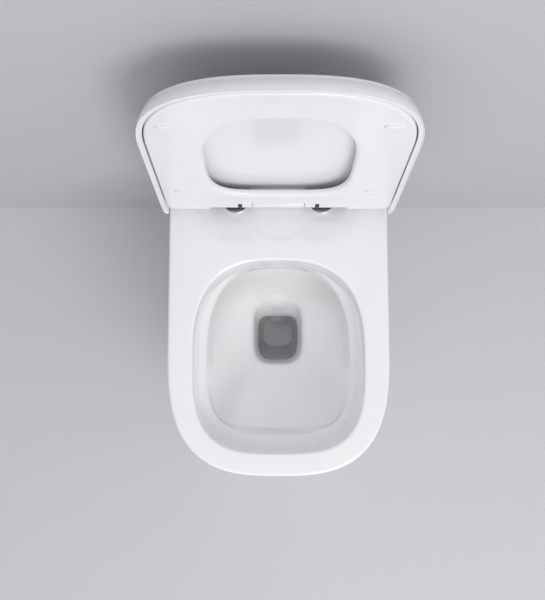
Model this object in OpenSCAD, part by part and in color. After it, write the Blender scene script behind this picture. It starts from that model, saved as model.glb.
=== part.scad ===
// Back-to-wall floor-standing toilet pan with its nested seat and lid, both lifted.
// +Z is up, the front of the bowl is at -Y and the wall is at +Y.
// The origin is on the floor, halfway from the wall to the front of the pan.

/* [Pan] */
// Width over the rim
pan_w = 361; // [330:1:420]
// Projection from the wall to the front of the rim
pan_l = 540; // [500:1:640]
// Height of the rim above the floor
rim_h = 400; // [380:1:480]
// Depth of the curved front of the rim
front_curve = 210; // [150:1:240]
// Thickness of the china
china = 11; // [8:0.5:14]
// Radius of the rim's edges
rim_edge = 5; // [3:0.5:8]
// How far the front of the foot stands back under the rim
foot_setback = 80; // [40:1:110]
// How much each side leans in from rim to floor
foot_taper = 16; // [5:1:30]

/* [Bowl] */
// Width of the bowl's opening
bowl_w = 279; // [240:1:300]
// Length of the bowl's opening
bowl_l = 313; // [280:1:350]
// Breadth of the rim in front of the bowl
front_rim = 36.5; // [30:0.5:50]
// Height of the wall between the rim and the flushing ledge
bowl_wall_h = 55; // [40:1:70]
// Breadth of the ledge at the sides
ledge_side = 13; // [8:0.5:20]
// Breadth of the ledge at the front
ledge_front = 16; // [8:0.5:22]
// Width of the sump's mouth
sump_w = 73; // [60:1:90]
// Length of the sump's mouth
sump_l = 82; // [60:1:100]
// Distance from the back of the bowl to the back of the sump
sump_from_back = 63; // [50:1:80]
// Height of the standing water above the floor
water_h = 193; // [180:1:205]

/* [Waste and flush] */
// Height of the waste outlet's centre above the floor
outlet_h = 180; // [170:1:190]
// Outside diameter of the outlet spigot
outlet_d = 102; // [98:1:110]
// Space between the outlet's end and the wall
outlet_gap = 44; // [30:1:60]
// Height of the flush inlet's centre above the floor
inlet_h = 325; // [310:1:335]
// Bore of the flush inlet
inlet_d = 55; // [45:1:58]

/* [Hinges] */
// Distance from the wall to the hinge fixings
hinge_back = 92; // [80:1:120]
// Distance between the two hinge fixings
hinge_span = 142; // [135:1:165]
// Height of the hinge axis above the rim
axis_up = 19; // [18.5:0.5:22]
// Distance of the hinge axis in front of the fixings
axis_fwd = 6.3; // [5:0.1:9]
// Diameter of the round cover plates
plate_d = 42; // [34:1:50]
// Thickness of the cover plates
plate_t = 4; // [3:0.5:4]
// Diameter of the hinge pins and damper shafts
pin_d = 6; // [4:0.5:7]
// Diameter of the soft-close dampers
damper_d = 13; // [11:0.5:13.5]
// Hole in the china for each hinge fixing
fixing_hole_d = 14; // [12:0.5:16]
// How far the seat and lid stand open
open_angle = 94; // [90:0.5:95]

/* [Seat and lid] */
// How far the lid reaches past the rim
lid_overhang = 6; // [3:0.5:10]
// Gap between the rim and the closed lid's edge
skirt_gap = 3; // [2:0.5:4]
// Height of the lid from its edge to its top
lid_h = 26; // [24:0.5:28]
// Thickness of the lid's top
lid_top = 4; // [3:0.25:4.5]
// Thickness of the lid's edge
lid_edge = 7.5; // [5:0.5:9]
// How far the lid's sides lean in between its edge and its shoulder
lid_draft = 6; // [1:0.5:7]
// Gap all round between the seat and the lid
seat_gap = 1.8; // [1:0.1:3]
// Thickness of the seat
seat_t = 17; // [14:0.5:18]
// Width of the hole in the seat
hole_w = 210; // [190:1:230]
// Length of the hole in the seat
hole_l = 283; // [240:1:300]
// Breadth of the seat in front of its hole
seat_front = 75; // [60:1:90]

/* [Floor fixings] */
// Height of the side screws above the floor
side_screw_h = 45; // [35:1:60]
// Distance of the side screws from the wall
side_screw_back = 150; // [120:1:180]
// Diameter of the side screws
side_screw_d = 6; // [5:0.5:8]
// Diameter of the covers over the side screws
side_cap_d = 20; // [16:1:26]
// Distance between the two floor holes of a bracket
bracket_span = 60; // [40:1:80]
// Diameter of the floor holes of a bracket
bracket_hole_d = 7; // [5:0.5:9]

/* [Hidden] */

steps = 48;            // points round each outline
tube_steps = 16;       // points round the waste passage
fit = 0.05;            // running clearance on a radius
loose = 0.5;           // clearance beside moving pieces
square_end = 20;       // exponent of a nearly square outline
corner = 8;            // how far the outline would run past the flat back
eps = 1;               // how far a cut reaches past a face

wall_y = pan_l / 2;
front_y = -pan_l / 2;

// Bowl outline at its lip
bowl_front = front_y + front_rim;
bowl_rear = bowl_front + bowl_l;
bowl_mid = bowl_front + bowl_l * 0.5;
ledge_drop = 15;
basin_top = rim_h - bowl_wall_h - ledge_drop;
wall_in_side = 5;
wall_in_front = 13;
sump_rear = bowl_rear - sump_from_back;
sump_front = sump_rear - sump_l;
sump_mid = (sump_rear + sump_front) / 2;
sump_floor = water_h - 110;
deck_t = china + 3;

// Waste passage
trap_r = 27;
trap_wall = 8;
water_seal = 50;
outlet_r = outlet_d / 2 - trap_wall;
dip_z = water_h - water_seal - trap_r;
weir_z = water_h + trap_r;
weir_y = sump_rear + 101;
spigot_start = weir_y + 82;
spigot_end = wall_y - outlet_gap;

// Flush inlet, and the chamber behind the bowl that it feeds
horn_d = inlet_d + 2 * china;
horn_end = wall_y - 38;
slot_half = 60;
slot_h = 9;
chamber_back = bowl_rear + 36;
chamber_floor = min(basin_top - 6, inlet_h + inlet_d / 2 - 10);
chamber_base = min(basin_top - 40, chamber_floor - china);

// Hinge
plate_x = hinge_span / 2;
plate_y = wall_y - hinge_back;
axis_y = plate_y - axis_fwd;
axis_z = rim_h + axis_up;
pin_r = pin_d / 2;
damper_r = damper_d / 2;
barrel_r = damper_r + 1.5;
tongue_half = plate_x - 29;
block_in = tongue_half + 1.7;
block_out = plate_x + 38.5;
lug_in = block_out + 1.1;
lug_out = lug_in + 19;
pin_reach = 16;
post_r = 4.5;
post_top = axis_z - damper_r - fit - 1;
block_floor = rim_h + plate_t + 0.3;
block_foot_rear = axis_fwd + post_r + 1;
button_w = 6;
button_h = 4;
button_out = 1.8;
damper_l = 42;
pin_hold = 12;
sleeve_flange = 11;
nut_h = 7.5;
post_shank = deck_t + sleeve_flange + nut_h + 6;

// Lid and seat, closed
lid_front = front_y - lid_overhang;
lid_half = pan_w / 2 + lid_overhang + 1.8;
lid_low = rim_h + skirt_gap;
lid_high = lid_low + lid_h;
lid_ceiling = lid_high - lid_top;
lid_rear = axis_y + 12.1;
lid_curve = 178;
lug_r = min(lid_ceiling - axis_z - loose, barrel_r);
seat_low = lid_low;
seat_high = seat_low + seat_t;
seat_inset = lid_edge + seat_gap;
seat_half = lid_half - seat_inset;
seat_front_y = lid_front + seat_inset;
seat_rear = axis_y - 12;
block_clear = 22.5;
notch_depth = 40;
hole_front = seat_front_y + seat_front;
hole_rear = hole_front + hole_l;
lid_cut = block_foot_rear + 3.2;
buffer_w = 10;
pocket_depth = 2.5;

// Floor fixings
side_y = wall_y - side_screw_back;
side_x = pan_w / 2 - foot_taper;
sleeve_r = side_screw_d / 2 + 2;
cap_seat = 2;
bracket_t = 3;
bracket_w = bracket_span + 24;
bracket_h = side_screw_h + 18;
bracket_x = side_x - china - 3;

// ---- outlines and skins ----

// A superellipse in plan, with its own exponent in front of the widest line and behind it.
function outline(half, front, rear, waist, n_front, n_rear) = [
  for (i = [0 : steps - 1])
    let (c = cos(360 * i / steps), s = sin(360 * i / steps),
         n = s < 0 ? n_front : n_rear, depth = s < 0 ? waist - front : rear - waist)
      [half * sign(c) * pow(abs(c), 2 / n), waist + depth * sign(s) * pow(abs(s), 2 / n)]
];

function raised(points, z) = [for (p = points) [p[0], p[1], z]];

function mix(a, b, t) = a * (1 - t) + b * t;

function ease(t) = t * t * (3 - 2 * t);

// A solid between rings that all have the same number of points, first ring lowest outside.
module skin(rings) {
  n = len(rings[0]);
  m = len(rings);
  sides = [for (j = [0 : m - 2], i = [0 : n - 1])
    let (k = (i + 1) % n) [j * n + i, (j + 1) * n + i, (j + 1) * n + k, j * n + k]];
  first = [for (i = [0 : n - 1]) i];
  last = [for (i = [n - 1 : -1 : 0]) (m - 1) * n + i];
  polyhedron(points = [for (r = rings, p = r) p], faces = concat([first], sides, [last]));
}

// The same rings closed into a loop, so that the middle stays open.
module loop_skin(rings) {
  n = len(rings[0]);
  m = len(rings);
  sides = [for (j = [0 : m - 1], i = [0 : n - 1])
    let (k = (i + 1) % n, u = (j + 1) % m) [j * n + i, u * n + i, u * n + k, j * n + k]];
  polyhedron(points = [for (r = rings, p = r) p], faces = sides);
}

// ---- pan ----

// The pan's plan: rounded in front, with small corners and a flat back.
function body_outline(half, front, back, n_front) =
  [for (p = outline(half, front, back + corner, front_y + front_curve, n_front, square_end))
    [p[0], min(p[1], back)]];

// The outside of the pan at a height, with the sides leaning in and the front set back.
function body_ring(z, inset) =
  let (low = 1 - z / rim_h)
    raised(body_outline(pan_w / 2 - foot_taper * ease(min(1, low * 1.25)) - inset,
                        front_y + foot_setback * ease(low) + inset, wall_y - inset,
                        2.95 - 0.5 * low), z);

function rim_edge_ring(a) =
  let (in = rim_edge * (1 - cos(a)))
    raised(body_outline(pan_w / 2 - in, front_y + in, wall_y - 1 + cos(a), 2.95),
           rim_h - rim_edge * (1 - sin(a)));

// The bowl's inside at the lip, grown by a rounding.
function lip_ring(a) =
  let (out = (rim_edge + 1) * (1 - cos(a)))
    raised(outline(bowl_w / 2 + out, bowl_front - out, bowl_rear + out, bowl_mid, 3.3, 2.7),
           rim_h - (rim_edge + 1) * (1 - sin(a)));

// Wall below the lip: 0 at the lip, 1 where the ledge starts.
function wall_ring(t, grow) =
  raised(outline(bowl_w / 2 - wall_in_side * t + grow, bowl_front + wall_in_front * t - grow,
                 bowl_rear - 0.5 * t + grow, bowl_mid, 3.3, 2.7),
         mix(rim_h - rim_edge - 1, rim_h - bowl_wall_h, t));

// The ledge: 0 at the wall, 1 at its inner edge.
function ledge_ring(t, grow) =
  raised(outline(bowl_w / 2 - wall_in_side - ledge_side * t + grow,
                 bowl_front + wall_in_front + ledge_front * t - grow,
                 bowl_rear - 0.5 - 0.8 * t + grow, bowl_mid, 3.3, 2.7),
         rim_h - bowl_wall_h - ledge_drop * t * (0.4 + 0.6 * t));

fold_half = bowl_w / 2 - wall_in_side - ledge_side - 9;
fold_front = bowl_front + wall_in_front + ledge_front + 12;
fold_rear = bowl_rear - 8;
fold_z = basin_top - 25;

// The basin from its fold to the sump's mouth: 0 at the fold, 1 at the mouth.
function basin_ring(t, grow) =
  raised(outline(mix(fold_half, sump_w / 2, t) + grow, mix(fold_front, sump_front, t) - grow,
                 mix(fold_rear, sump_rear, t) + grow, mix(bowl_mid, sump_mid, t),
                 mix(4.4, 3, t), mix(3, 4, t)),
         mix(water_h - 1, fold_z, 0.45 * (1 - t) + 0.55 * pow(1 - t, 2.2)));

function sump_ring(t, grow) =
  raised(outline(sump_w / 2 - 8 * t * t + grow, sump_front + 34 * t * t - grow,
                 sump_rear + 4 * t - 6 * t * t + grow, sump_mid + 10 * t, 2.6, 3.4),
         mix(water_h - 1, sump_floor - grow, t));

// Two equal arcs that join two level points, as [y, z] pairs.
function s_bend(y0, z0, y1, z1, n) =
  let (w = y1 - y0, h = abs(z1 - z0), r = (w * w + h * h) / (4 * h), up = sign(z1 - z0),
       a = asin(w / (2 * r)))
    [for (i = [0 : n]) let (t = i / n * 2)
      t <= 1 ? [y0 + r * sin(a * t), z0 + up * r * (1 - cos(a * t))]
             : [y1 - r * sin(a * (2 - t)), z1 - up * r * (1 - cos(a * (2 - t)))]];

trap_rise = s_bend(sump_mid + 25, dip_z, weir_y, weir_z, 12);
trap_fall = s_bend(weir_y, weir_z, spigot_start, outlet_h, 10);
trap_path = concat(trap_rise, [for (i = [1 : len(trap_fall) - 1]) trap_fall[i]]);

// A round passage along the trap's path, widening from the trap's size to the outlet's.
module trap_tube(grow) {
  n = len(trap_path);
  skin([for (j = [0 : n - 1])
    let (a = trap_path[max(0, j - 1)], b = trap_path[min(n - 1, j + 1)],
         slope = j == 0 || j == n - 1 ? 0 : atan2(b[1] - a[1], b[0] - a[0]),
         r = mix(trap_r, outlet_r - 1, ease(j / (n - 1))) + grow)
      [for (i = [0 : tube_steps - 1])
        let (x = r * cos(360 * i / tube_steps), u = r * sin(360 * i / tube_steps))
          [-x, trap_path[j][0] - u * sin(slope), trap_path[j][1] + u * cos(slope)]]]);
}

// The bowl's outside up to the underside of the deck, as a filled solid.
under_bowl = concat(
  [for (t = [1, 0.6, 0.2]) sump_ring(t, china)],
  [for (t = [0.75, 0.5, 0.25, 0]) basin_ring(t, china)],
  [ledge_ring(1, china), wall_ring(0.8, china), bowl_edge()]
);

function bowl_edge() =
  raised(outline(bowl_w / 2 + china, bowl_front - china, bowl_rear + china, bowl_mid, 3.3, 2.7),
         rim_h - deck_t);

// The bowl's wall where the deck's underside meets it.
joint_ring = wall_ring((deck_t - rim_edge - 1) / (bowl_wall_h - rim_edge - 1), 0);

module bowl_shell() {
  skin(concat(
    under_bowl,
    [joint_ring, wall_ring(0.9, 0)],
    [for (t = [0.15, 0.85, 1]) ledge_ring(t, 0)],
    [for (t = [0, 0.12, 0.3, 0.5, 0.7, 0.9]) basin_ring(t, 0)],
    [for (t = [0, 0.15, 0.5, 0.85, 1]) sump_ring(t, 0)]
  ));
}

// Deck, rim and skirt: a ring that is open in the middle.
module skirt_shell() {
  loop_skin(concat(
    [bowl_edge()],
    [for (z = [rim_h - deck_t, rim_h * 0.7, rim_h * 0.35, 0]) body_ring(z, china)],
    [for (t = [0 : 0.1 : 0.91]) body_ring(rim_h * t, 0)],
    [for (a = [0 : 30 : 90]) rim_edge_ring(a)],
    [for (a = [90 : -30 : 0]) lip_ring(a)],
    [joint_ring]
  ));
}

module along_y(y0, y1, d, x = 0, z = 0) {
  translate([x, y0, z])
    rotate([-90, 0, 0])
      cylinder(h = y1 - y0, d = d, $fn = 64);
}

module along_x(x0, x1, d, y = 0, z = 0) {
  translate([min(x0, x1), y, z])
    rotate([0, 90, 0])
      cylinder(h = abs(x1 - x0), d = d, $fn = 64);
}

module both_sides() {
  children();
  mirror([1, 0, 0])
    children();
}

module glazed() {
  color([0.95, 0.96, 0.97])
    children();
}

module pan() {
  glazed()
    difference() {
      skirt_shell();
      both_sides() {
        translate([plate_x, plate_y, rim_h - deck_t - 10])
          cylinder(h = deck_t + 20, d = fixing_hole_d, $fn = 64);
        along_x(side_x - china - 12, pan_w / 2, 2 * sleeve_r + 2 * fit, side_y, side_screw_h);
        along_x(side_x - cap_seat, pan_w / 2, side_cap_d + 1, side_y, side_screw_h);
      }
      // open back, for the pipes
      translate([-pan_w / 2 + 45, wall_y - china - 4, -eps])
        cube([pan_w - 90, china + 10, rim_h - 2 * china]);
    }
}

// Chamber behind the bowl, and the slot that lets the flush out under the rear wall.
module flush_space() {
  translate([-slot_half, bowl_rear + 14, chamber_floor])
    cube([2 * slot_half, chamber_back - bowl_rear - 14, basin_top + 28 - chamber_floor]);
  translate([-slot_half, bowl_rear - 6, basin_top + 1])
    cube([2 * slot_half, 24, slot_h]);
}

module bowl() {
  glazed()
    difference() {
      bowl_shell();
      trap_tube(0);
      flush_space();
    }
}

module trapway() {
  glazed()
    difference() {
      union() {
        trap_tube(trap_wall);
        along_y(spigot_start - 2, spigot_end, outlet_d, 0, outlet_h);
      }
      trap_tube(0);
      along_y(spigot_start - 3, spigot_end + eps, outlet_r * 2, 0, outlet_h);
      skin(under_bowl);
    }
}

module flush_horn() {
  glazed()
    difference() {
      union() {
        along_y(bowl_rear + 20, horn_end, horn_d, 0, inlet_h);
        translate([-slot_half - china, bowl_rear - 20, chamber_base])
          cube([2 * (slot_half + china), chamber_back - bowl_rear + china + 20,
                basin_top + 40 - chamber_base]);
      }
      flush_space();
      along_y(bowl_rear + 22, wall_y, inlet_d, 0, inlet_h);
      skin(under_bowl);
    }
}

// ---- seat and lid, drawn closed ----

module opened() {
  translate([0, axis_y, axis_z])
    rotate([-open_angle, 0, 0])
      translate([0, -axis_y, -axis_z])
        children();
}

// The lid's outline moved in all round, with its back edge at a chosen place.
function lid_ring(inset, rear, z) =
  raised(outline(lid_half - inset, lid_front + inset, rear, lid_front + lid_curve, 2.68,
                 square_end * 2), z);

module lid_shell() {
  difference() {
    skin([
      lid_ring(1.5, lid_rear - 1, lid_low),
      lid_ring(0, lid_rear, lid_low + 1.5),
      lid_ring(lid_draft * 0.1, lid_rear, lid_low + lid_h * 0.32),
      lid_ring(lid_draft * 0.42, lid_rear, lid_low + lid_h * 0.6),
      lid_ring(lid_draft, lid_rear, lid_high - 6),
      lid_ring(lid_draft + 2.8, lid_rear - 1.2, lid_high - 2.6),
      lid_ring(lid_draft + 6.5, lid_rear - 3, lid_high - 0.6),
      lid_ring(lid_draft + 12, lid_rear - 6, lid_high)
    ]);
    skin([
      lid_ring(lid_edge - 1, lid_rear + 20, lid_low - eps),
      lid_ring(lid_edge, lid_rear + 20, lid_low + 1),
      lid_ring(lid_edge + 0.5, lid_rear + 20, lid_ceiling - 4),
      lid_ring(lid_edge + 4, lid_rear + 20, lid_ceiling)
    ]);
  }
}

module lid() {
  color([0.93, 0.94, 0.95])
    opened()
      difference() {
        union() {
          lid_shell();
          // tongue that carries the lid on the hinge axis
          along_x(-tongue_half, tongue_half, 2 * barrel_r, axis_y, axis_z);
          translate([-tongue_half, axis_y - 30, axis_z])
            cube([2 * tongue_half, 30, lid_ceiling - axis_z + 1]);
        }
        // room for the hinge blocks
        both_sides()
          translate([tongue_half, axis_y - lid_cut, lid_low - 10])
            cube([block_out + 1 - tongue_half, lid_cut + 30, lid_h + 20]);
        both_sides()
          along_x(tongue_half - pin_reach - 1, tongue_half + eps, pin_d + 2 * fit, axis_y, axis_z);
      }
}

// Ring through the seat's thickness: 0 on its outline, 1 on its hole.
function seat_ring_at(t, z) =
  let (out = outline(seat_half, seat_front_y, seat_rear, lid_front + lid_curve, 2.68,
                     square_end * 2),
       hole = outline(hole_w / 2, hole_front, hole_rear, mix(hole_front, hole_rear, 0.5),
                      2.5, 4.2))
    [for (i = [0 : steps - 1]) [mix(out[i][0], hole[i][0], t), mix(out[i][1], hole[i][1], t), z]];

module seat_ring() {
  // share of the way from outline to hole, and height of that line on a 17 mm section
  section = [
    [0, 3], [0, 13], [0.06, 16], [0.25, 17], [0.5, 16.6], [0.8, 14.5], [0.95, 11.5],
    [1, 8], [1, 4], [0.97, 0.8], [0.9, 0], [0.5, 1.2], [0.06, 0], [0.02, 0.7]
  ];
  color([0.95, 0.96, 0.97])
    opened()
      difference() {
        union() {
          difference() {
            loop_skin([for (p = section) seat_ring_at(p[0], seat_low + p[1] * seat_t / 17)]);
            // room for the hinge blocks and for the lid's tongue
            both_sides()
              translate([tongue_half, axis_y - block_clear, seat_low - eps])
                cube([lug_in - tongue_half, block_clear, seat_t + 2 * eps]);
            translate([-tongue_half - 0.7, axis_y - notch_depth, seat_low - eps])
              cube([2 * tongue_half + 1.4, notch_depth, seat_t + 2 * eps]);
            both_sides()
              translate([plate_x - 12.6, axis_y - block_clear - 15, seat_low - eps])
                cube([6.8, 20, seat_t + 2 * eps]);
          }
          both_sides() {
            along_x(lug_in, lug_out, 2 * lug_r, axis_y, axis_z);
            translate([lug_in, axis_y - 20, axis_z - lug_r - 3])
              cube([lug_out - lug_in, 20, lug_r + 3]);
          }
        }
        both_sides()
          along_x(lug_in - eps, lug_in + pin_reach + 1, pin_d + 2 * fit, axis_y, axis_z);
        buffer_pads(seat_low - eps, buffer_w + 2 * fit);
      }
}

// Soft pad with rounded ends, lying along X.
module pad(x, y, z, length, width, height) {
  translate([x, y, z])
    linear_extrude(height = height)
      union() {
        square([length - width, width], center = true);
        for (side = [-1, 1])
          translate([side * (length - width) / 2, 0])
            circle(d = width, $fn = 48);
      }
}

// The seat's buffers, each let into a pocket of its underside.
module buffer_pads(low, width) {
  both_sides()
    for (y = [hole_front + 20, hole_rear - 20])
      pad(seat_half - 34, y, low, width + 16, width, seat_low + pocket_depth - low);
}

module seat_buffers() {
  color([0.9, 0.9, 0.9])
    opened()
      buffer_pads(rim_h + 0.3, buffer_w);
}

module lid_buffers() {
  color([0.9, 0.9, 0.9])
    opened()
      both_sides()
        for (y = [hole_front + 20, hole_rear - 60])
          pad(seat_half - 44, y, seat_high + 0.3, 18, 9, lid_ceiling - seat_high - 0.3);
}

// ---- hinges ----

module hinge_plate(side) {
  color([0.75, 0.76, 0.78])
    translate([side * plate_x, plate_y, rim_h + 0.5])
      difference() {
        union() {
          cylinder(h = plate_t - 1.5, d = plate_d, $fn = 96);
          translate([0, 0, plate_t - 1.5])
            cylinder(h = 1, d1 = plate_d, d2 = plate_d - 2, $fn = 96);
        }
        translate([0, 0, -eps])
          cylinder(h = plate_t + 2 * eps, r = post_r + fit, $fn = 64);
      }
}

module plate_gaskets() {
  color([0.5, 0.5, 0.5])
    both_sides()
      translate([plate_x, plate_y, rim_h])
        difference() {
          cylinder(h = 0.5, d = plate_d - 2, $fn = 64);
          translate([0, 0, -eps])
            cylinder(h = 3, r = post_r + fit, $fn = 64);
        }
}

module hinge_post(side) {
  color([0.7, 0.71, 0.72])
    translate([side * plate_x, plate_y, rim_h - post_shank])
      cylinder(h = post_top - rim_h + post_shank, r = post_r, $fn = 64);
}

module expansion_sleeves() {
  color([0.2, 0.2, 0.2])
    both_sides()
      translate([plate_x, plate_y, rim_h - deck_t - sleeve_flange])
        difference() {
          union() {
            cylinder(h = deck_t + sleeve_flange - 0.5, d = fixing_hole_d - 2 * fit, $fn = 64);
            cylinder(h = sleeve_flange - 0.1, d = fixing_hole_d + 4, $fn = 64);
          }
          translate([0, 0, -eps])
            cylinder(h = deck_t + 30, r = post_r + fit, $fn = 64);
        }
}

module fixing_nuts() {
  color([0.75, 0.65, 0.35])
    both_sides()
      translate([plate_x, plate_y, rim_h - deck_t - sleeve_flange - 0.2 - nut_h])
        difference() {
          cylinder(h = nut_h, d = 2 * post_r + 8, $fn = 6);
          translate([0, 0, -eps])
            cylinder(h = 10, r = post_r + fit, $fn = 64);
        }
}

module hinge_block(side) {
  outer_bore = side < 0;
  color([0.3, 0.31, 0.32])
    mirror([side < 0 ? 1 : 0, 0, 0])
      difference() {
        union() {
          along_x(block_in, block_out, 2 * barrel_r, axis_y, axis_z);
          translate([plate_x - 14, axis_y - 3.5, block_floor])
            cube([22.5, block_foot_rear + 3.5, post_top + 1.6 - block_floor]);
        }
        translate([plate_x, plate_y, block_floor - eps])
          cylinder(h = post_top - block_floor + eps + 0.05, r = post_r + fit, $fn = 64);
        // one end holds a damper, the other a plain pin
        if (outer_bore) {
          along_x(block_out - damper_l - 0.5, block_out + eps, damper_d + 2 * fit, axis_y, axis_z);
          along_x(block_in - eps, block_in + pin_hold, pin_d, axis_y, axis_z);
        } else {
          along_x(block_in - eps, block_in + damper_l + 0.5, damper_d + 2 * fit, axis_y, axis_z);
          along_x(block_out - pin_hold, block_out + eps, pin_d, axis_y, axis_z);
        }
        translate([plate_x - 12.5, axis_y + 2, block_floor + 1])
          cube([button_w, block_foot_rear, button_h + 0.4]);
      }
}

module release_button(side) {
  color([0.35, 0.36, 0.37])
    mirror([side < 0 ? 1 : 0, 0, 0])
      translate([plate_x - 12.3, axis_y + 5, block_floor + 1.2])
        cube([button_w - 0.4, block_foot_rear - 5 + button_out, button_h]);
}

// Damper body with its bored end towards +X, starting at x0.
module damper(x0) {
  difference() {
    along_x(x0, x0 + damper_l - 0.5, damper_d, axis_y, axis_z);
    along_x(x0 + damper_l - 15, x0 + damper_l, pin_d + 2 * fit, axis_y, axis_z);
  }
}

module damper_shaft(x0, x1) {
  along_x(x0, x1, pin_d, axis_y, axis_z);
}

module seat_damper() {
  color([0.85, 0.85, 0.83])
    mirror([1, 0, 0])
      damper(block_out - damper_l);
}

module seat_damper_shaft() {
  color([0.6, 0.61, 0.62])
    damper_shaft(-(block_out - 14), -(lug_in + pin_reach));
}

module seat_pivot_pin() {
  color([0.6, 0.61, 0.62])
    damper_shaft(block_out - pin_hold, lug_in + pin_reach);
}

module lid_damper() {
  color([0.85, 0.85, 0.83])
    translate([block_in + block_in + damper_l, 0, 0])
      mirror([1, 0, 0])
        damper(block_in);
}

module lid_damper_shaft() {
  color([0.6, 0.61, 0.62])
    damper_shaft(block_in + 14, tongue_half - pin_reach);
}

module lid_pivot_pin() {
  color([0.6, 0.61, 0.62])
    damper_shaft(-(block_in + pin_hold), -(tongue_half - pin_reach));
}

// ---- floor fixings ----

module floor_bracket(side) {
  color([0.65, 0.66, 0.68])
    mirror([side < 0 ? 1 : 0, 0, 0])
      translate([bracket_x, side_y, 0])
        difference() {
          union() {
            translate([-bracket_t, -bracket_w / 2, 0])
              cube([bracket_t, bracket_w, bracket_h]);
            translate([-30, -bracket_w / 2, 0])
              cube([30, bracket_w, bracket_t]);
          }
          along_x(-bracket_t - eps, eps, side_screw_d + 2 * fit, 0, side_screw_h);
          for (end = [-1, 1])
            translate([-18, end * bracket_span / 2, -eps])
              cylinder(h = bracket_t + 2 * eps, d = bracket_hole_d, $fn = 48);
        }
}

module side_screws() {
  head = side_x - cap_seat;
  color([0.7, 0.71, 0.72])
    both_sides() {
      along_x(bracket_x - bracket_t - 12, head, side_screw_d, side_y, side_screw_h);
      along_x(head - 4, head, side_screw_d + 3.6, side_y, side_screw_h);
    }
}

module side_sleeves() {
  head = side_x - cap_seat;
  color([0.9, 0.9, 0.9])
    both_sides()
      difference() {
        along_x(bracket_x, head - 4, 2 * sleeve_r, side_y, side_screw_h);
        along_x(bracket_x - eps, head, side_screw_d + 2 * fit, side_y, side_screw_h);
      }
}

module side_caps() {
  color([0.8, 0.8, 0.82])
    both_sides()
      along_x(side_x - cap_seat, side_x + 2.5, side_cap_d, side_y, side_screw_h);
}

pan();
bowl();
trapway();
flush_horn();
seat_ring();
lid();
seat_buffers();
lid_buffers();
hinge_plate(-1);  // hinge_plate_left
hinge_plate(1);  // hinge_plate_right
plate_gaskets();
hinge_post(-1);  // hinge_post_left
hinge_post(1);  // hinge_post_right
expansion_sleeves();
fixing_nuts();
hinge_block(-1);  // hinge_block_left
hinge_block(1);  // hinge_block_right
release_button(-1);  // release_button_left
release_button(1);  // release_button_right
seat_damper();
seat_damper_shaft();
seat_pivot_pin();
lid_damper();
lid_damper_shaft();
lid_pivot_pin();
floor_bracket(-1);  // floor_bracket_left
floor_bracket(1);  // floor_bracket_right
side_screws();
side_sleeves();
side_caps();
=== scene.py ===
# %% [markdown]
# # A back-to-wall toilet with its seat and lid raised
# The object is one glazed china body with a plastic seat and a wrap-over lid on one hinge line.
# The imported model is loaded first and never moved. Each china or plastic piece is then made again
# with smooth skins, in the same place and at the same size, and small metal pieces get rounded
# edges and their finishes.

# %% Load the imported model
import math

import bmesh
import bpy
from mathutils import Matrix, Vector


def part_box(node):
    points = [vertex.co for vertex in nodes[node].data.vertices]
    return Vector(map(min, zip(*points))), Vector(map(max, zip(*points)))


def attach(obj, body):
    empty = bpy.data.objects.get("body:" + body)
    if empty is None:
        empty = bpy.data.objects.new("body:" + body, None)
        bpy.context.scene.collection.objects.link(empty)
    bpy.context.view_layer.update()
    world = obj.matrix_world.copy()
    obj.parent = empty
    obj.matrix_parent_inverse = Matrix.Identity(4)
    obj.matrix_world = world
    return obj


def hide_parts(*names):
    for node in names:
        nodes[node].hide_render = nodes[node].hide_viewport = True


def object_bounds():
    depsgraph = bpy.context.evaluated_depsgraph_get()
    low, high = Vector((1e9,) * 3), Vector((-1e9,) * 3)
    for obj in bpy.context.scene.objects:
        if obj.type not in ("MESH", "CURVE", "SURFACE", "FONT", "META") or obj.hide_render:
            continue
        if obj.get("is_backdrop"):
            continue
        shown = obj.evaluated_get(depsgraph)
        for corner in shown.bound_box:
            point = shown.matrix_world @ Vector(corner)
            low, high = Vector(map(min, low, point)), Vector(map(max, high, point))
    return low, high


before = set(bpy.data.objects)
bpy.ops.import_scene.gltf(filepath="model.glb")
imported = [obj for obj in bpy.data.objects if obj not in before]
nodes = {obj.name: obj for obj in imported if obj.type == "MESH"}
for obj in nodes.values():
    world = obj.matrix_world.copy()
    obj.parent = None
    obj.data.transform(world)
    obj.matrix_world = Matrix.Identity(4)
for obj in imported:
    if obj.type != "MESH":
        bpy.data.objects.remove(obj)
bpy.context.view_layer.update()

# %% [markdown]
# ## Measures
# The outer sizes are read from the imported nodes, so the skins always land on them. What a box can't
# tell, such as the bowl's steps, is named here in metres, with one value for each real feature.

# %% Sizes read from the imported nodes
MM = 0.001
pan_low, pan_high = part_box("pan")
RIM_HALF = pan_high.x
RIM_TOP = pan_high.z
FRONT = pan_low.y
WALL = pan_high.y
pin_low, pin_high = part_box("seat_pivot_pin")
AXIS = (pin_low + pin_high) / 2
AXIS.x = 0
OPEN_ANGLE = math.radians(94)
SEAT_UP = (Matrix.Translation(AXIS) @ Matrix.Rotation(-OPEN_ANGLE, 4, "X") @ Matrix.Translation(-AXIS))
print("rim half width", round(RIM_HALF, 4), "rim height", round(RIM_TOP, 4), "hinge axis", AXIS)

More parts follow.
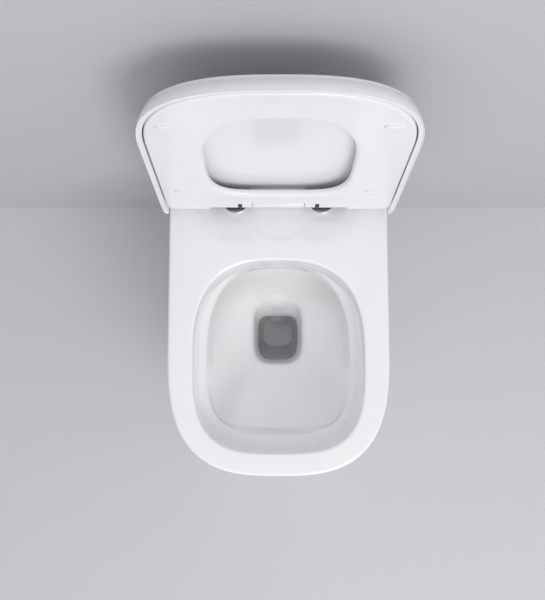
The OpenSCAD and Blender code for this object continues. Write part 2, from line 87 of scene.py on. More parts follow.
# %% Sizes of the china
CHINA = 11 * MM
RIM_EDGE = 5 * MM
FRONT_CURVE = 210 * MM
FOOT_SETBACK = 80 * MM
FOOT_TAPER = 16 * MM
BOWL_HALF = 139.5 * MM
BOWL_FRONT = FRONT + 36.5 * MM
BOWL_REAR = BOWL_FRONT + 313 * MM
BOWL_MID = (BOWL_FRONT + BOWL_REAR) / 2
WALL_DEPTH = 55 * MM
LEDGE_DROP = 15 * MM
LEDGE_SIDE = 13 * MM
LEDGE_FRONT = 16 * MM
BASIN_TOP = RIM_TOP - WALL_DEPTH - LEDGE_DROP
SUMP_HALF = 36.5 * MM
SUMP_REAR = BOWL_REAR - 63 * MM
SUMP_FRONT = SUMP_REAR - 82 * MM
SUMP_MID = (SUMP_REAR + SUMP_FRONT) / 2
SUMP_TOP = 192 * MM
SUMP_FLOOR = 83 * MM
DECK = 14 * MM
AROUND = 144
print("bowl from", round(BOWL_FRONT, 4), "to", round(BOWL_REAR, 4))

# %% [markdown]
# ## Outlines that are neither round nor square
# Seen from above, the rim, bowl, seat and lid are all superellipses: an ellipse whose exponent is
# above 2, so that its corners fill out. A ring of such points is carried upwards with extrude, and
# each new ring is moved to its own outline. That keeps the faces in clean bands, and a band is
# easy to make narrow where an edge is tight.

# %% One outline
def power(value, exponent):
    return math.copysign(abs(value) ** exponent, value)


def outline(half, front, rear, waist, front_power, rear_power, z):
    """Points round a superellipse with its own depth and exponent before and behind its widest line."""
    points = []
    for i in range(AROUND):
        turn = math.tau * i / AROUND
        c, s = math.cos(turn), math.sin(turn)
        exponent = 2 / (front_power if s < 0 else rear_power)
        depth = waist - front if s < 0 else rear - waist
        points.append(Vector((half * power(c, exponent), waist + depth * power(s, exponent), z)))
    return points


def mix(a, b, t):
    return a * (1 - t) + b * t


def ease(t):
    return t * t * (3 - 2 * t)


print("an outline has", len(outline(1, -1, 1, 0, 3, 3, 0)), "points")

# %% Carry a ring through a list of outlines
def loft(rings, closed=False):
    """A bmesh whose skin passes through every ring; closed joins the last ring to the first."""
    bm = bmesh.new()
    first = bmesh.ops.create_circle(bm, segments=len(rings[0]), radius=1)["verts"]
    order = {vert: i for i, vert in enumerate(first)}
    for vert, i in order.items():
        vert.co = rings[0][i]
    edges = list(bm.edges)
    start_edges = list(edges)
    for ring in rings[1:] + ([rings[0]] if closed else []):
        grown = bmesh.ops.extrude_edge_only(bm, edges=edges)["geom"]
        edges = [item for item in grown if isinstance(item, bmesh.types.BMEdge)]
        fresh = [item for item in grown if isinstance(item, bmesh.types.BMVert)]
        moved = {}
        for vert in fresh:
            below = [edge.other_vert(vert) for edge in vert.link_edges]
            moved[vert] = next(order[other] for other in below if other in order)
        for vert, i in moved.items():
            vert.co = ring[i]
        order = moved
    if closed:
        bmesh.ops.remove_doubles(bm, verts=bm.verts, dist=1e-6)
    else:
        bmesh.ops.contextual_create(bm, geom=start_edges)
        bmesh.ops.contextual_create(bm, geom=edges)
    bmesh.ops.recalc_face_normals(bm, faces=bm.faces)
    return bm


def softened(rings, keep_ends=True, per_span=3, closed=False):
    """A B-spline through neighbouring rings, which rounds every fold between them."""
    count = len(rings)
    spans = count if closed else count - 1
    found = []
    for j in range(spans):
        near = [rings[(j + k) % count if closed else min(max(j + k, 0), count - 1)] for k in (-1, 0, 1, 2)]
        for step in range(per_span):
            t = step / per_span
            weights = ((1 - t) ** 3 / 6, (3 * t**3 - 6 * t**2 + 4) / 6,
                       (-3 * t**3 + 3 * t**2 + 3 * t + 1) / 6, t**3 / 6)
            found.append([sum((w * ring[i] for w, ring in zip(weights, near)), Vector())
                          for i in range(len(rings[0]))])
    if keep_ends and not closed:
        found[0] = rings[0]
        found.append(rings[-1])
    return found


print("loft and softened are ready")

# %% Turn a bmesh into a finished piece
def finish_piece(bm, name, body, material, smooth_angle=35, replaces=()):
    """Writes the bmesh to a mesh whose object stays at the origin, and hangs it on its body."""
    mesh = bpy.data.meshes.new(name)
    bm.to_mesh(mesh)
    bm.free()
    piece = bpy.data.objects.new(name, mesh)
    bpy.context.scene.collection.objects.link(piece)
    shade(piece, smooth_angle)
    mesh.materials.append(material)
    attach(piece, body)
    if replaces:
        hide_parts(*replaces)
    print(name, len(mesh.polygons), "faces")
    return piece


def shade(piece, smooth_angle):
    """Smooth shading, with a sharp line where two faces meet at more than the angle."""
    mesh = piece.data
    mesh.polygons.foreach_set("use_smooth", [True] * len(mesh.polygons))
    mesh.set_sharp_from_angle(angle=math.radians(smooth_angle))


def scratch(bm, name):
    """A helper object for a boolean, removed once it has been used."""
    mesh = bpy.data.meshes.new(name)
    bm.to_mesh(mesh)
    bm.free()
    tool = bpy.data.objects.new(name, mesh)
    bpy.context.scene.collection.objects.link(tool)
    return tool


def carve(body, steps):
    """Joins or cuts scratch solids one after another, and returns the result as a bmesh."""
    for operation, tool in steps:
        modifier = body.modifiers.new(operation, "BOOLEAN")
        modifier.operation = operation
        modifier.solver = "MANIFOLD"
        modifier.object = tool
    bpy.context.view_layer.update()
    evaluated = body.evaluated_get(bpy.context.evaluated_depsgraph_get())
    bm = bmesh.new()
    bm.from_mesh(evaluated.to_mesh())
    evaluated.to_mesh_clear()
    for item in [body] + [tool for _, tool in steps]:
        bpy.data.objects.remove(item)
    bmesh.ops.remove_doubles(bm, verts=bm.verts, dist=2e-6)
    bmesh.ops.dissolve_degenerate(bm, edges=bm.edges, dist=1e-6)
    return bm


print("piece helpers are ready")

# %% Small solids that most pieces need
def block(low, high, rounding=0.0, segments=3):
    """A box between two corners, with its edges rounded."""
    bm = bmesh.new()
    low, high = Vector(low), Vector(high)
    verts = bmesh.ops.create_cube(bm, size=1)["verts"]
    bmesh.ops.scale(bm, vec=high - low, verts=verts)
    bmesh.ops.translate(bm, vec=(low + high) / 2, verts=verts)
    if rounding:
        bmesh.ops.bevel(bm, geom=bm.edges[:], affect="EDGES", offset=rounding, segments=segments,
                        profile=0.5, material=-1, clamp_overlap=True)
    return bm


def turned(profile, segments=64, axis="Z", centre=(0, 0, 0)):
    """A solid of revolution: a profile of (radius, height) points spun round an axis."""
    bm = bmesh.new()
    verts = [bm.verts.new((radius, 0, height)) for radius, height in profile]
    edges = [bm.edges.new(pair) for pair in zip(verts, verts[1:])]
    bmesh.ops.spin(bm, geom=verts + edges, cent=(0, 0, 0), axis=(0, 0, 1), angle=math.tau,
                   steps=segments, use_merge=True)
    bmesh.ops.remove_doubles(bm, verts=bm.verts, dist=1e-7)
    bmesh.ops.recalc_face_normals(bm, faces=bm.faces)
    turn = {"Z": Matrix.Identity(4), "X": Matrix.Rotation(math.pi / 2, 4, "Y"),
            "Y": Matrix.Rotation(-math.pi / 2, 4, "X")}[axis]
    bmesh.ops.transform(bm, matrix=Matrix.Translation(centre) @ turn, verts=bm.verts)
    return bm


def rod(start, length, radius, axis, edge=0.0, segments=64):
    """A round bar from a start point along +X, +Y or +Z, with a rounded rim at each end."""
    arc = [math.radians(a) for a in (0, 30, 60, 90)] if edge else []
    low = [(radius - edge + edge * math.sin(a), edge - edge * math.cos(a)) for a in arc]
    high = [(r, length - h) for r, h in reversed(low)]
    sides = low + high if edge else [(radius, 0), (radius, length)]
    return turned([(0, 0)] + sides + [(0, length)], segments, axis, start)


print("block, turned and rod are ready")

# %% [markdown]
# ## Finishes from nodes
# Every finish is worked out from the place on the piece, with no pictures. Shader sums are easier to
# read as Python than as a net of boxes, so one small class wraps a socket and turns +, - and *
# into Math nodes. Colours are blended with Mix nodes instead, because a Math node would grey them.

# %% A socket that can be used in sums
class Signal:
    def __init__(self, tree, socket):
        self.tree = tree
        self.socket = socket

    def sum_node(self, operation, other, swapped=False):
        pair = (other, self) if swapped else (self, other)
        return add_node(self.tree, "ShaderNodeMath", {"operation": operation}, dict(enumerate(pair)))

    def __add__(self, other):
        return self.sum_node("ADD", other)

    def __sub__(self, other):
        return self.sum_node("SUBTRACT", other)

    def __rsub__(self, other):
        return self.sum_node("SUBTRACT", other, swapped=True)

    def __mul__(self, other):
        return self.sum_node("MULTIPLY", other)

    __radd__ = __add__
    __rmul__ = __mul__


def add_node(tree, kind, settings=None, inputs=None, output=0):
    """Adds one node: its settings first, then values or links for its sockets. Returns an output."""
    node = tree.nodes.new(kind)
    for key, value in (settings or {}).items():
        if key == "stops":
            for stop, (place, colour) in zip(node.color_ramp.elements, value):
                stop.position, stop.color = place, colour
        else:
            setattr(node, key, value)
    for key, value in (inputs or {}).items():
        if isinstance(value, Signal):
            tree.links.new(value.socket, node.inputs[key])
        else:
            node.inputs[key].default_value = value
    return Signal(tree, node.outputs[output])


print("signals are ready")

# %% Parts that every finish shares
def start_finish(name):
    """A new material with only its output, and the place on the piece in metres."""
    material = bpy.data.materials.new(name)
    material.use_nodes = True
    material.node_tree.nodes.clear()
    place = add_node(material.node_tree, "ShaderNodeTexCoord", output=3)
    return material, material.node_tree, place


def clouds(tree, place, scale, detail=3.0, roughness=0.5):
    """Soft noise from 0 to 1, with its size given as patches per metre."""
    return add_node(tree, "ShaderNodeTexNoise", {"noise_dimensions": "3D"},
                    {"Vector": place, "Scale": scale, "Detail": detail, "Roughness": roughness})


def stretched(tree, place, squeeze):
    """The place squeezed along some axes, which draws the noise out along the others."""
    return add_node(tree, "ShaderNodeMapping", {"vector_type": "POINT"}, {"Vector": place, "Scale": squeeze})


def blend_colours(tree, factor, first, second):
    """The colour between two, as the factor goes from 0 to 1."""
    return add_node(tree, "ShaderNodeMix", {"data_type": "RGBA"},
                    {0: factor, 6: (*first, 1.0), 7: (*second, 1.0)}, output=2)


def show(tree, surface):
    """Links a shader to the material's output."""
    tree.links.new(surface.socket, tree.nodes.new("ShaderNodeOutputMaterial").inputs["Surface"])


def end_finish(material, base, roughness, height, depth, strength, fixed):
    """Joins the varying signals to a Principled shader; fixed numbers go on its own sockets."""
    tree = material.node_tree
    relief = add_node(tree, "ShaderNodeBump", {}, {"Height": height, "Distance": depth, "Strength": strength})
    varying = {"Base Color": base, "Roughness": roughness, "Normal": relief}
    surface = add_node(tree, "ShaderNodeBsdfPrincipled", {}, {**varying, **fixed})
    show(tree, surface)
    print("finish", material.name)
    return material


print("finish helpers are ready")

# %% [markdown]
# ## Glazed china and the two white plastics
# Fired glaze is a clear coat of glass over a white body. It is almost a mirror, and two things keep
# it from looking like paint: the glaze pools a little, so its colour and gloss drift over a hand's
# width, and the clay below is never quite flat, so reflections bend. Both are broad, faint noise.
# Round the sump the glaze is tinted grey. That isn't a property of the china: it stands in for the
# shade and the water of a pan in use, which this empty model doesn't hold.
# The seat is pressed from a hard resin: flatter than china, a touch warmer, with a finer ripple.

# %% China glaze
# Painted shade: round the sump the glaze colour darkens to grey, standing in for shade and water.
SUMP_SHADE_HEART = (0, SUMP_MID, 130 * MM)
SUMP_SHADE_FULL, SUMP_SHADE_END = 55 * MM, 78 * MM


def make_china():
    material, tree, place = start_finish("glazed_china")
    pool = clouds(tree, place, 7, 2)
    pinholes = clouds(tree, place, 900, 1)
    base = blend_colours(tree, pool, (0.9, 0.906, 0.91), (0.92, 0.925, 0.928))
    # Painted shade: the base colour fades to grey within a sphere round the sump.
    distance = add_node(tree, "ShaderNodeVectorMath", {"operation": "DISTANCE"},
                        {0: place, 1: SUMP_SHADE_HEART}, output=1)
    sump_shade = add_node(tree, "ShaderNodeMapRange", {"interpolation_type": "SMOOTHSTEP"},
                    {"Value": distance, "From Min": SUMP_SHADE_FULL, "From Max": SUMP_SHADE_END,
                     "To Min": 0.55, "To Max": 0})
    base = add_node(tree, "ShaderNodeMix", {"data_type": "RGBA"},
                    {0: sump_shade, 6: base, 7: (0.5, 0.525, 0.535, 1)}, output=2)
    gloss = 0.05 + pool * 0.06 + pinholes * 0.03
    height = pool * 0.9 + clouds(tree, place, 60, 2) * 0.08 + pinholes * 0.004
    return end_finish(material, base, gloss, height, 0.0012, 0.5,
                      {"Coat Weight": 0.6, "Coat Roughness": 0.03, "IOR": 1.52})


# %% Seat and lid resin
def make_resin():
    material, tree, place = start_finish("white_resin")
    drift = clouds(tree, place, 9, 2)
    ripple = clouds(tree, place, 140, 2)
    base = blend_colours(tree, drift, (0.85, 0.865, 0.88), (0.88, 0.89, 0.9))
    gloss = 0.12 + drift * 0.07 + ripple * 0.04
    return end_finish(material, base, gloss, drift * 0.5 + ripple * 0.03, 0.0008, 0.4,
                      {"Coat Weight": 0.3, "Coat Roughness": 0.06, "IOR": 1.49})


china = make_china()
resin = make_resin()

# %% [markdown]
# ## Rubber, dark plastic and metal
# Rubber is matt with a fine chalky grain. The hinge barrels are moulded in a mould with an etched
# grain. Chrome shows only faint wiping marks. Turned steel is brushed round its axis, brass is
# duller with a few tarnish clouds, and zinc plate has its pale spangle.

# %% Rubber and moulded plastic
def make_grained(name, dark, light, gloss, grain_scale, depth):
    """A moulded finish: two close tones, and a fine grain that also breaks the gloss."""
    material, tree, place = start_finish(name)
    grain = clouds(tree, place, grain_scale, 3, 0.6)
    drift = clouds(tree, place, 40, 2)
    base = blend_colours(tree, grain * 0.5 + drift * 0.5, dark, light)
    return end_finish(material, base, gloss + grain * 0.15, grain, depth, 0.6, {"IOR": 1.5})


white_rubber = make_grained("white_rubber", (0.84, 0.85, 0.86), (0.87, 0.88, 0.89), 0.4, 1500, 0.00005)
black_rubber = make_grained("black_rubber", (0.015, 0.015, 0.016), (0.03, 0.03, 0.03), 0.6, 1500, 0.0001)
barrel_plastic = make_grained("barrel_plastic", (0.03, 0.031, 0.033), (0.05, 0.051, 0.054),
                              0.35, 2600, 0.00008)
button_plastic = make_grained("button_plastic", (0.1, 0.102, 0.108), (0.14, 0.142, 0.15), 0.35, 2600, 0.00008)
damper_plastic = make_grained("damper_plastic", (0.55, 0.54, 0.5), (0.62, 0.61, 0.57), 0.4, 1800, 0.00008)
sleeve_plastic = make_grained("sleeve_plastic", (0.7, 0.7, 0.69), (0.78, 0.78, 0.77), 0.4, 1800, 0.00008)

# %% Metals
def make_metal(name, dark, light, gloss, squeeze, marks, depth):
    """A bare metal: streaks or clouds change its tone and gloss, and press a faint relief."""
    material, tree, place = start_finish(name)
    streaks = clouds(tree, stretched(tree, place, squeeze), marks, 4, 0.65)
    smudge = clouds(tree, place, 55, 2)
    base = blend_colours(tree, streaks, dark, light)
    return end_finish(material, base, gloss + streaks * 0.12 + smudge * 0.08, streaks, depth, 0.5,
                      {"Metallic": 1.0})


chrome = make_metal("chrome", (0.72, 0.73, 0.75), (0.8, 0.81, 0.83), 0.14, (1, 1, 1), 130, 0.00002)
steel = make_metal("turned_steel", (0.45, 0.45, 0.46), (0.6, 0.6, 0.61), 0.2, (40, 1, 1), 60, 0.00004)
brass = make_metal("brass", (0.5, 0.34, 0.13), (0.68, 0.5, 0.22), 0.22, (1, 1, 1), 260, 0.00003)


def make_zinc():
    material, tree, place = start_finish("zinc_plate")
    spangle = add_node(tree, "ShaderNodeTexVoronoi", {"feature": "F1"}, {"Vector": place, "Scale": 180})
    haze = clouds(tree, place, 90, 3)
    base = blend_colours(tree, spangle * 0.7 + haze * 0.3, (0.42, 0.44, 0.46), (0.62, 0.64, 0.66))
    return end_finish(material, base, 0.28 + haze * 0.2, spangle, 0.00003, 0.5, {"Metallic": 1.0})


zinc = make_zinc()

# %% [markdown]
# ## The china body
# The real pan is slip-cast in one piece, so the skirt, the rim, the bowl and the sump are one skin.
# Here it is drawn as rings in the order a finger would trace them: up the outside of the bowl, down
# inside the skirt, round the foot, up the skirt, over the rim and down into the sump. The folds in
# the bowl are softened by a B-spline, because glaze fills every corner.

# %% The skirt, from foot to rim
def body_outline(half, front, back, front_power, z):
    """The plan of the pan: rounded in front, with tight corners and a flat back against the wall."""
    ring = outline(half, front, back + 8 * MM, FRONT + FRONT_CURVE, front_power, 20, z)
    for point in ring:
        point.y = min(point.y, back)
    return ring


def body_ring(z, inset):
    low = 1 - z / RIM_TOP
    half = RIM_HALF - FOOT_TAPER * ease(min(1, low * 1.25)) - inset
    return body_outline(half, FRONT + FOOT_SETBACK * ease(low) + inset, WALL - inset, 2.95 - 0.5 * low, z)


def rim_edge_ring(turn):
    inset = RIM_EDGE * (1 - math.cos(turn))
    return body_outline(RIM_HALF - inset, FRONT + inset, WALL - MM * (1 - math.cos(turn)), 2.95,
                        RIM_TOP - RIM_EDGE * (1 - math.sin(turn)))


foot_round = 2 * MM
foot_rings = [body_ring(0, CHINA), body_ring(0, foot_round), body_ring(foot_round * 0.3, foot_round * 0.3),
              body_ring(foot_round, 0)]
skirt_rings = [body_ring(RIM_TOP * t / 30, 0) for t in range(1, 30)]
skirt_rings += [body_ring(RIM_TOP - RIM_EDGE - MM, 0)]
rim_rings = [rim_edge_ring(math.radians(9 * i)) for i in range(11)]
print("skirt rings", len(skirt_rings), "rim rings", len(rim_rings))

# %% The bowl, from lip to sump
def bowl_outline(grow_side, grow_front, grow_rear, z):
    return outline(BOWL_HALF + grow_side, BOWL_FRONT - grow_front, BOWL_REAR + grow_rear, BOWL_MID,
                   3.3, 2.7, z)


LIP = 4.5 * MM


def lip_ring(turn):
    out = LIP * (1 - math.cos(turn))
    return bowl_outline(out, out, out, RIM_TOP - LIP * (1 - math.sin(turn)))


def wall_ring(t, grow=0):
    return bowl_outline(grow - 5 * MM * t, grow - 13 * MM * t, grow - 0.5 * MM * t,
                        mix(RIM_TOP - LIP, RIM_TOP - WALL_DEPTH, t))


def ledge_ring(t, grow=0):
    return bowl_outline(grow - 5 * MM - LEDGE_SIDE * t, grow - 13 * MM - LEDGE_FRONT * t,
                        grow - 0.5 * MM - 0.8 * MM * t,
                        RIM_TOP - WALL_DEPTH - LEDGE_DROP * t * (0.4 + 0.6 * t))


FOLD_HALF = BOWL_HALF - 5 * MM - LEDGE_SIDE - 9 * MM
FOLD_FRONT = BOWL_FRONT + 13 * MM + LEDGE_FRONT + 12 * MM
FOLD_REAR = BOWL_REAR - 8 * MM
FOLD_TOP = BASIN_TOP - 25 * MM
CREASE = 10 * MM
MOUTH_HALF = SUMP_HALF + 9 * MM
MOUTH_FRONT = SUMP_FRONT - 13 * MM
MOUTH_REAR = SUMP_REAR + 19 * MM
MOUTH_TOP = SUMP_TOP + 20 * MM
THROAT_TOP = SUMP_TOP - 22 * MM


def funnel_ring(t):
    """The steep funnel between the basin, 0, and the sump's throat, 1."""
    return outline(mix(MOUTH_HALF, SUMP_HALF, t), mix(MOUTH_FRONT, SUMP_FRONT, t),
                   mix(MOUTH_REAR, SUMP_REAR, t), SUMP_MID, 3.4, 5, mix(MOUTH_TOP, THROAT_TOP, t))


def basin_ring(t, grow=0):
    """From the fold, 0, to the mouth of the sump, 1. In front the fold drops a little to a crease."""
    ring = outline(mix(FOLD_HALF, MOUTH_HALF, t) + grow, mix(FOLD_FRONT, MOUTH_FRONT, t) - grow,
                   mix(FOLD_REAR, MOUTH_REAR, t) + grow, mix(BOWL_MID, SUMP_MID, t),
                   mix(5.5, 3.4, t), mix(3, 5, t),
                   mix(MOUTH_TOP, FOLD_TOP, 0.45 * (1 - t) + 0.55 * (1 - t) ** 2.2))
    for point in ring:
        ahead = max(0, (BOWL_MID - point.y) / (BOWL_MID - FOLD_FRONT))
        middle = max(0, 1 - abs(point.x / FOLD_HALF) ** 3)
        point.z -= CREASE * ahead**6 * middle * (1 - t) ** 3
    return ring


def sump_ring(t, grow=0):
    return outline(SUMP_HALF - 8 * MM * t * t + grow, SUMP_FRONT + 34 * MM * t * t - grow,
                   SUMP_REAR + (4 * t - 6 * t * t) * MM + grow, SUMP_MID + 10 * MM * t, 2.6, 3.4,
                   mix(SUMP_TOP, SUMP_FLOOR - grow, t))


def between(first, second, t):
    return [a.lerp(b, t) for a, b in zip(first, second)]


inner = [wall_ring(t) for t in (0, 0.3, 0.6, 0.85, 0.95)]
inner += [ledge_ring(t) for t in (0.04, 0.3, 0.6, 0.88, 0.97, 1)]
inner += [between(ledge_ring(1), basin_ring(0), t) for t in (0.06, 0.3, 0.6, 0.88)]
inner += [basin_ring(t) for t in (0.015, 0.08, 0.16, 0.25, 0.34, 0.44, 0.54, 0.64, 0.74, 0.83, 0.91)]
inner += [funnel_ring(t) for t in (0.08, 0.3, 0.6, 0.9, 0.97, 1)]
inner += [sump_ring(t, 4 * MM) for t in (0.26, 0.3, 0.4, 0.55, 0.7, 0.85)] + [sump_ring(1)]
bowl_rings = [lip_ring(math.radians(90 - 9 * i)) for i in range(11)] + softened(inner)[1:]
under = [sump_ring(t, CHINA) for t in (1, 0.6, 0.2)] + [basin_ring(t, CHINA) for t in (0.75, 0.5, 0.25, 0)]
under += [ledge_ring(1, CHINA), wall_ring(0.8, CHINA), bowl_outline(CHINA, CHINA, CHINA, RIM_TOP - DECK)]
under = softened(under)
inside = [body_ring(z, CHINA) for z in (RIM_TOP - DECK, RIM_TOP * 0.7, RIM_TOP * 0.35)]
print("bowl rings", len(bowl_rings), "rings under the bowl", len(under))

# %% [markdown]
# ## The passages of the pan
# Behind the bowl a siphon bend rises over its weir and drops to the spigot, and a short horn brings
# the flush into a chamber that opens through a slot under the rear of the rim. They show through
# the open back. Each is a round or square solid joined to the shell, and then hollowed.

# %% The siphon bend
def s_bend(start, end, count):
    """Two equal arcs that join two level points, as (y, z) pairs."""
    width, rise = end[0] - start[0], abs(end[1] - start[1])
    radius = (width**2 + rise**2) / (4 * rise)
    sweep = math.asin(width / (2 * radius))
    way = math.copysign(1, end[1] - start[1])
    points = []
    for i in range(count + 1):
        t = 2 * i / count
        near, turn, side = (start, sweep * t, 1) if t <= 1 else (end, sweep * (2 - t), -1)
        points.append((near[0] + side * radius * math.sin(turn),
                       near[1] + side * way * radius * (1 - math.cos(turn))))
    return points


OUTLET_Z = 180 * MM
OUTLET_R = 43 * MM
PIPE_WALL = 8 * MM
SPIGOT_START = SUMP_REAR + 183 * MM
SPIGOT_END = WALL - 44 * MM
weir = (SUMP_REAR + 101 * MM, 220 * MM)
bend = s_bend((SUMP_MID + 25 * MM, 116 * MM), weir, 28)
bend += s_bend(weir, (SPIGOT_START, OUTLET_Z), 22)[1:]


def bend_solid(grow):
    rings = []
    last = len(bend) - 1
    for j, (y, z) in enumerate(bend):
        before, after = bend[max(0, j - 1)], bend[min(last, j + 1)]
        slope = 0 if j in (0, last) else math.atan2(after[1] - before[1], after[0] - before[0])
        radius = mix(27 * MM, OUTLET_R - MM, ease(j / last)) + grow
        ring = []
        for i in range(48):
            across, up = radius * math.cos(math.tau * i / 48), radius * math.sin(math.tau * i / 48)
            ring.append(Vector((across, y - up * math.sin(slope), z + up * math.cos(slope))))
        rings.append(ring)
    return loft(rings)


print("siphon path has", len(bend), "points")

# %% Join and hollow the pan
HORN_Z = 325 * MM
CHAMBER_REAR = BOWL_REAR + 36 * MM
SLOT_HALF = 60 * MM
FIXING_X = 71 * MM
FIXING_Y = WALL - 92 * MM
shell = scratch(loft(under + inside + foot_rings + skirt_rings + rim_rings + bowl_rings), "pan_shell")
chamber_low = (-SLOT_HALF - CHINA, BOWL_REAR + 6 * MM, BASIN_TOP - 40 * MM)
chamber_high = (SLOT_HALF + CHINA, CHAMBER_REAR + CHINA, BASIN_TOP + 40 * MM)
in_the_sump = block((-60 * MM, SUMP_MID - 60 * MM, 60 * MM), (60 * MM, SUMP_REAR + 3 * MM, 200 * MM))
cut_bend = carve(scratch(bend_solid(PIPE_WALL), "bend"),
                 [("DIFFERENCE", scratch(in_the_sump, "in_the_sump"))])
outer_bend = scratch(cut_bend, "outer_bend")
spigot_low = SPIGOT_START - 2 * MM
horn_low = BOWL_REAR + 20 * MM
joined = [
    rod((0, spigot_low, OUTLET_Z), SPIGOT_END - spigot_low, OUTLET_R + PIPE_WALL, "Y", 2 * MM),
    rod((0, horn_low, HORN_Z), WALL - 38 * MM - horn_low, 38.5 * MM, "Y", 2.5 * MM),
    block(chamber_low, chamber_high, 6 * MM),
]
chamber = ((-SLOT_HALF, BOWL_REAR + 14 * MM, BASIN_TOP - 6 * MM),
           (SLOT_HALF, CHAMBER_REAR, BASIN_TOP + 28 * MM))
slot = ((-SLOT_HALF, BOWL_REAR - 6 * MM, BASIN_TOP + MM),
        (SLOT_HALF, BOWL_REAR + 18 * MM, BASIN_TOP + 6 * MM))
back_x = RIM_HALF - 45 * MM
open_back = ((-back_x, WALL - CHINA - 4 * MM, -20 * MM), (back_x, WALL + 10 * MM, RIM_TOP - 2 * CHINA))
hollows = [
    bend_solid(0),
    rod((0, SPIGOT_START - 3 * MM, OUTLET_Z), 40 * MM, OUTLET_R, "Y"),
    rod((0, horn_low + 2 * MM, HORN_Z), WALL, 27.5 * MM, "Y"),
    block(*chamber, 3 * MM),
    block(*slot, 2 * MM),
    block(*open_back, 5 * MM),
]
cap_low, cap_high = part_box("side_caps")
SIDE_Y, SIDE_Z = (cap_low.y + cap_high.y) / 2, (cap_low.z + cap_high.z) / 2
for side in (-1, 1):
    hollows.append(rod((side * FIXING_X, FIXING_Y, RIM_TOP - 40 * MM), 50 * MM, 7 * MM, "Z"))
    hollows.append(rod((side * 164.5 * MM - 25 * MM, SIDE_Y, SIDE_Z), 50 * MM, 5.05 * MM, "X"))
    start = 162.5 * MM if side > 0 else -182.5 * MM
    hollows.append(rod((start, SIDE_Y, SIDE_Z), 20 * MM, 10.5 * MM, "X"))
steps = [("UNION", outer_bend)] + [("UNION", scratch(bm, f"joined_{i}")) for i, bm in enumerate(joined)]
steps += [("DIFFERENCE", scratch(bm, f"hollow_{i}")) for i, bm in enumerate(hollows)]
finish_piece(carve(shell, steps), "pan_china", "pan", china, 32,
             ["pan", "bowl", "trapway", "flush_horn"])

# %% [markdown]
# ## The seat
# The seat is a closed ring with one section all the way round: a flat outer edge, a crowned top and
# a hollowed underside, which faces forward while the seat is up. The section is swept from the
# outline to the hole by sharing the distance between the two, and a B-spline rounds it. It is drawn
# closed, where its numbers are simple, and then turned about the hinge axis.

# %% Sizes of the seat and lid
LID_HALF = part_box("lid")[1].x
LID_FRONT = FRONT - 6 * MM
LID_LOW = RIM_TOP + 3 * MM
LID_HIGH = LID_LOW + 26 * MM
LID_CEILING = LID_HIGH - 4 * MM
LID_REAR = AXIS.y + 12.1 * MM
LID_WAIST = LID_FRONT + 178 * MM
LID_EDGE = 7.5 * MM
SEAT_INSET = LID_EDGE + 1.8 * MM
SEAT_HALF = LID_HALF - SEAT_INSET
SEAT_FRONT = LID_FRONT + SEAT_INSET
SEAT_REAR = AXIS.y - 12 * MM
SEAT_THICK = 17 * MM
HOLE_HALF = 105 * MM
HOLE_FRONT = SEAT_FRONT + 75 * MM
HOLE_REAR = HOLE_FRONT + 283 * MM
TONGUE_HALF = 42 * MM
LUG_IN = 110.6 * MM
LUG_OUT = 129.6 * MM
PIN_BORE = 3.05 * MM
print("seat from", round(SEAT_FRONT, 4), "to", round(SEAT_REAR, 4))

# %% The seat's ring
seat_section = [(0, 3), (0, 8), (0, 13), (0.03, 15.2), (0.1, 16.4), (0.25, 17.1), (0.5, 16.6), (0.75, 15),
                (0.9, 13), (0.98, 10.5), (1, 8), (1, 5), (0.99, 2.4), (0.965, 0.6), (0.9, 0), (0.7, 0.9),
                (0.5, 1.2), (0.3, 0.9), (0.1, 0), (0.045, 0), (0.012, 0.8)]
seat_outline = outline(SEAT_HALF, SEAT_FRONT, SEAT_REAR, LID_WAIST, 2.68, 40, 0)
hole_outline = outline(HOLE_HALF, HOLE_FRONT, HOLE_REAR, (HOLE_FRONT + HOLE_REAR) / 2, 2.5, 4.2, 0)
section_rings = []
for share, height in seat_section:
    lift = Vector((0, 0, LID_LOW + height * SEAT_THICK / 17))
    section_rings.append([point + lift for point in between(seat_outline, hole_outline, share)])
seat_body = scratch(loft(softened(section_rings, closed=True, keep_ends=False), closed=True), "seat_body")
print("seat section has", len(seat_section), "points")

# %% Hinge cut-outs, lugs and pockets
def both_ways(low_x, high_x, low_yz, high_yz, rounding):
    """The same rounded block on the left and on the right."""
    return [block((min(s * low_x, s * high_x), *low_yz), (max(s * low_x, s * high_x), *high_yz), rounding)
            for s in (-1, 1)]


through = (LID_LOW - 10 * MM, LID_LOW + 40 * MM)
seat_cuts = both_ways(TONGUE_HALF - 2 * MM, LUG_IN, (AXIS.y - 22.5 * MM, through[0]),
                      (AXIS.y + 20 * MM, through[1]), 1.5 * MM)
seat_cuts += [block((-TONGUE_HALF - 0.7 * MM, AXIS.y - 40 * MM, through[0]),
                    (TONGUE_HALF + 0.7 * MM, AXIS.y + 20 * MM, through[1]), 2 * MM)]
seat_cuts += both_ways(FIXING_X - 12.6 * MM, FIXING_X - 5.8 * MM, (AXIS.y - 37.5 * MM, through[0]),
                       (AXIS.y - 10 * MM, through[1]), 1 * MM)
lug_r = LID_CEILING - AXIS.z - 0.5 * MM
seat_lugs = both_ways(LUG_IN, LUG_OUT, (AXIS.y - 20 * MM, AXIS.z - lug_r - 3 * MM),
                      (AXIS.y, AXIS.z), 0.6 * MM)
for side in (-1, 1):
    start = LUG_IN if side > 0 else -LUG_OUT
    seat_lugs.append(rod((start, AXIS.y, AXIS.z), LUG_OUT - LUG_IN, lug_r, "X", 0.6 * MM))
seat_bores = [rod((-LUG_IN - 17 * MM if s < 0 else LUG_IN - MM, AXIS.y, AXIS.z), 18 * MM, PIN_BORE, "X")
              for s in (-1, 1)]
print(len(seat_cuts), "cuts and", len(seat_lugs), "lug solids")

# %% Soft pads and their pockets
PAD_Y = (HOLE_FRONT + 20 * MM, HOLE_REAR - 20 * MM)


